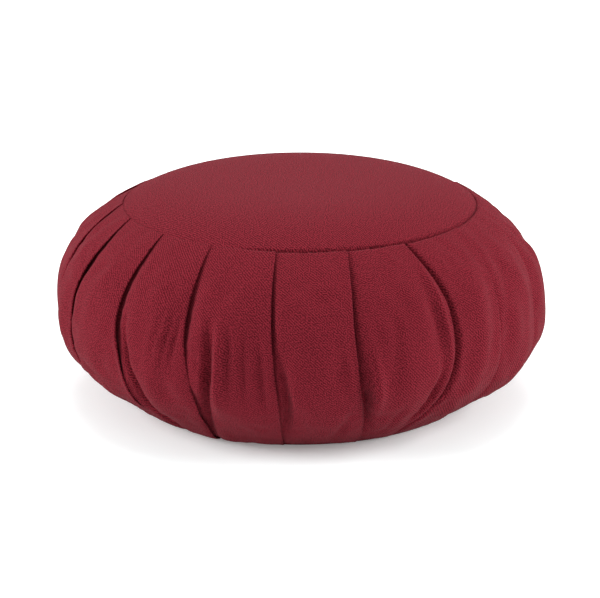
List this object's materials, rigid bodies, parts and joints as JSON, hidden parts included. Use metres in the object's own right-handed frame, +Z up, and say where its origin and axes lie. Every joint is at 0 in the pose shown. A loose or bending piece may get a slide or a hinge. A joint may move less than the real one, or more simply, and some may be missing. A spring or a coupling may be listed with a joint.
{
  "type": "zafu meditation cushion",
  "caption": "Round filled floor cushion for sitting, with a domed round top panel, a knife-pleated side band and a flat round bottom panel.",
  "frame": {"origin": "on the floor under the middle of the cushion", "axes": "+Z up through the crown, -Y towards the front, +X towards the right seen from the front"},
  "size_m": [0.349, 0.3481, 0.15],
  "materials": {
    "cotton": "matt burgundy woven cotton"
  },
  "bodies": {
    "root": {"filled_side_band": "cotton", "top_panel": "cotton", "bottom_panel": "cotton"}
  },
  "joints": []
}
